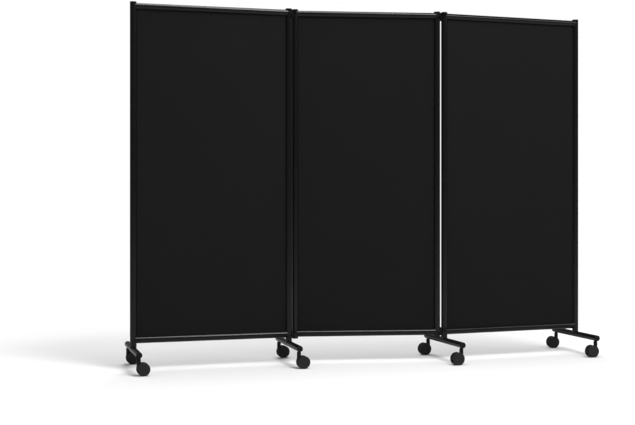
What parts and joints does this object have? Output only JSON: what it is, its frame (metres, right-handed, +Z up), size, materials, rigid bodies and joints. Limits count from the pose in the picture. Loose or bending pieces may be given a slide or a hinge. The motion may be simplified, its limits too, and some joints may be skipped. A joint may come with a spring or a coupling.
{
  "type": "rolling partition",
  "caption": "Folding room divider: tube-framed panels with plain infill, joined by twin-pivot links, on cross feet with swivel casters.",
  "frame": {"origin": "on the floor, under the middle of the bounding box", "axes": "+X along the middle panel to its right end, +Y towards its back, +Z up"},
  "size_m": [2.4685, 0.7881, 1.8],
  "materials": {
    "frame_paint": "satin black powder coat",
    "sheet_black": "smooth matt black",
    "cap_plastic": "moulded black",
    "link_plastic": "moulded black",
    "caster_plastic": "moulded black",
    "wheel_plastic": "moulded black",
    "steel": "zinc plated",
    "black_steel": "black zinc plated"
  },
  "bodies": {
    "middle_panel": {"middle_left_post": "frame_paint", "middle_right_post": "frame_paint", "middle_top_rail": "frame_paint", "middle_bottom_rail": "frame_paint", "middle_infill": "sheet_black", "middle_end_caps": "cap_plastic", "middle_pivot_pins": "steel"},
    "left_links": {"left_link_lower": "link_plastic", "left_link_upper": "link_plastic"},
    "right_links": {"right_link_lower": "link_plastic", "right_link_upper": "link_plastic"},
    "left_panel": {"left_outer_post": "frame_paint", "left_inner_post": "frame_paint", "left_top_rail": "frame_paint", "left_bottom_rail": "frame_paint", "left_infill": "sheet_black", "left_end_caps": "cap_plastic", "left_outer_foot": "frame_paint", "left_inner_foot": "frame_paint", "left_pivot_pins": "steel", "left_caster_stems": "black_steel"},
    "right_panel": {"right_outer_post": "frame_paint", "right_inner_post": "frame_paint", "right_top_rail": "frame_paint", "right_bottom_rail": "frame_paint", "right_infill": "sheet_black", "right_end_caps": "cap_plastic", "right_outer_foot": "frame_paint", "right_inner_foot": "frame_paint", "right_pivot_pins": "steel", "right_caster_stems": "black_steel"},
    "caster_1": {"caster_1_hood": "caster_plastic", "caster_1_axle": "steel"},
    "wheels_1": {"caster_1_wheels": "wheel_plastic"},
    "caster_2": {"caster_2_hood": "caster_plastic", "caster_2_axle": "steel"},
    "wheels_2": {"caster_2_wheels": "wheel_plastic"},
    "caster_3": {"caster_3_hood": "caster_plastic", "caster_3_axle": "steel"},
    "wheels_3": {"caster_3_wheels": "wheel_plastic"},
    "caster_4": {"caster_4_hood": "caster_plastic", "caster_4_axle": "steel"},
    "wheels_4": {"caster_4_wheels": "wheel_plastic"},
    "caster_5": {"caster_5_hood": "caster_plastic", "caster_5_axle": "steel"},
    "wheels_5": {"caster_5_wheels": "wheel_plastic"},
    "caster_6": {"caster_6_hood": "caster_plastic", "caster_6_axle": "steel"},
    "wheels_6": {"caster_6_wheels": "wheel_plastic"},
    "caster_7": {"caster_7_hood": "caster_plastic", "caster_7_axle": "steel"},
    "wheels_7": {"caster_7_wheels": "wheel_plastic"},
    "caster_8": {"caster_8_hood": "caster_plastic", "caster_8_axle": "steel"},
    "wheels_8": {"caster_8_wheels": "wheel_plastic"}
  },
  "joints": [
    {"name": "left_link_fold", "type": "hinge", "parent": "middle_panel", "child": "left_links", "pos_m": [-0.37274, -0.01564, 0.9], "axis": [0, 0, 1], "range_deg": [-125, 55]},
    {"name": "left_panel_fold", "type": "hinge", "parent": "left_links", "child": "left_panel", "pos_m": [-0.40715, -0.03973, 0.9], "axis": [0, 0, 1], "range_deg": [-65.45, 114.55]},
    {"name": "right_link_fold", "type": "hinge", "parent": "middle_panel", "child": "right_links", "pos_m": [0.36426, -0.01564, 0.9], "axis": [0, 0, 1], "range_deg": [-105, 75]},
    {"name": "right_panel_fold", "type": "hinge", "parent": "right_links", "child": "right_panel", "pos_m": [0.40483, -0.00477, 0.9], "axis": [0, 0, 1], "range_deg": [-88.9, 91.1]},
    {"name": "caster_1_swivel", "type": "hinge", "parent": "left_panel", "child": "caster_1", "pos_m": [-1.14609, -0.37227, 0.06], "axis": [0, 0, 1], "continuous": true},
    {"name": "caster_1_roll", "type": "hinge", "parent": "caster_1", "child": "wheels_1", "pos_m": [-1.12504, -0.36839, 0.0315], "axis": [-0.1814, 0.9834, 0], "continuous": true},
    {"name": "caster_2_swivel", "type": "hinge", "parent": "left_panel", "child": "caster_2", "pos_m": [-1.2161, 0.00732, 0.06], "axis": [0, 0, 1], "continuous": true},
    {"name": "caster_2_roll", "type": "hinge", "parent": "caster_2", "child": "wheels_2", "pos_m": [-1.19506, 0.01121, 0.0315], "axis": [-0.1814, 0.9834, 0], "continuous": true},
    {"name": "caster_3_swivel", "type": "hinge", "parent": "left_panel", "child": "caster_3", "pos_m": [-0.37214, -0.22953, 0.06], "axis": [0, 0, 1], "continuous": true},
    {"name": "caster_3_roll", "type": "hinge", "parent": "caster_3", "child": "wheels_3", "pos_m": [-0.3511, -0.22565, 0.0315], "axis": [-0.1814, 0.9834, 0], "continuous": true},
    {"name": "caster_4_swivel", "type": "hinge", "parent": "left_panel", "child": "caster_4", "pos_m": [-0.44215, 0.15007, 0.06], "axis": [0, 0, 1], "continuous": true},
    {"name": "caster_4_roll", "type": "hinge", "parent": "caster_4", "child": "wheels_4", "pos_m": [-0.42111, 0.15395, 0.0315], "axis": [-0.1814, 0.9834, 0], "continuous": true},
    {"name": "caster_5_swivel", "type": "hinge", "parent": "right_panel", "child": "caster_5", "pos_m": [0.45119, -0.19212, 0.06], "axis": [0, 0, 1], "continuous": true},
    {"name": "caster_5_roll", "type": "hinge", "parent": "caster_5", "child": "wheels_5", "pos_m": [0.43042, -0.19726, 0.0315], "axis": [0.2402, -0.9707, 0], "continuous": true},
    {"name": "caster_6_swivel", "type": "hinge", "parent": "right_panel", "child": "caster_6", "pos_m": [0.35846, 0.18258, 0.06], "axis": [0, 0, 1], "continuous": true},
    {"name": "caster_6_roll", "type": "hinge", "parent": "caster_6", "child": "wheels_6", "pos_m": [0.33769, 0.17744, 0.0315], "axis": [0.2402, -0.9707, 0], "continuous": true},
    {"name": "caster_7_swivel", "type": "hinge", "parent": "right_panel", "child": "caster_7", "pos_m": [1.21514, -0.00306, 0.06], "axis": [0, 0, 1], "continuous": true},
    {"name": "caster_7_roll", "type": "hinge", "parent": "caster_7", "child": "wheels_7", "pos_m": [1.19437, -0.0082, 0.0315], "axis": [0.2402, -0.9707, 0], "continuous": true},
    {"name": "caster_8_swivel", "type": "hinge", "parent": "right_panel", "child": "caster_8", "pos_m": [1.12242, 0.37164, 0.06], "axis": [0, 0, 1], "continuous": true},
    {"name": "caster_8_roll", "type": "hinge", "parent": "caster_8", "child": "wheels_8", "pos_m": [1.10164, 0.3665, 0.0315], "axis": [0.2402, -0.9707, 0], "continuous": true}
  ]
}
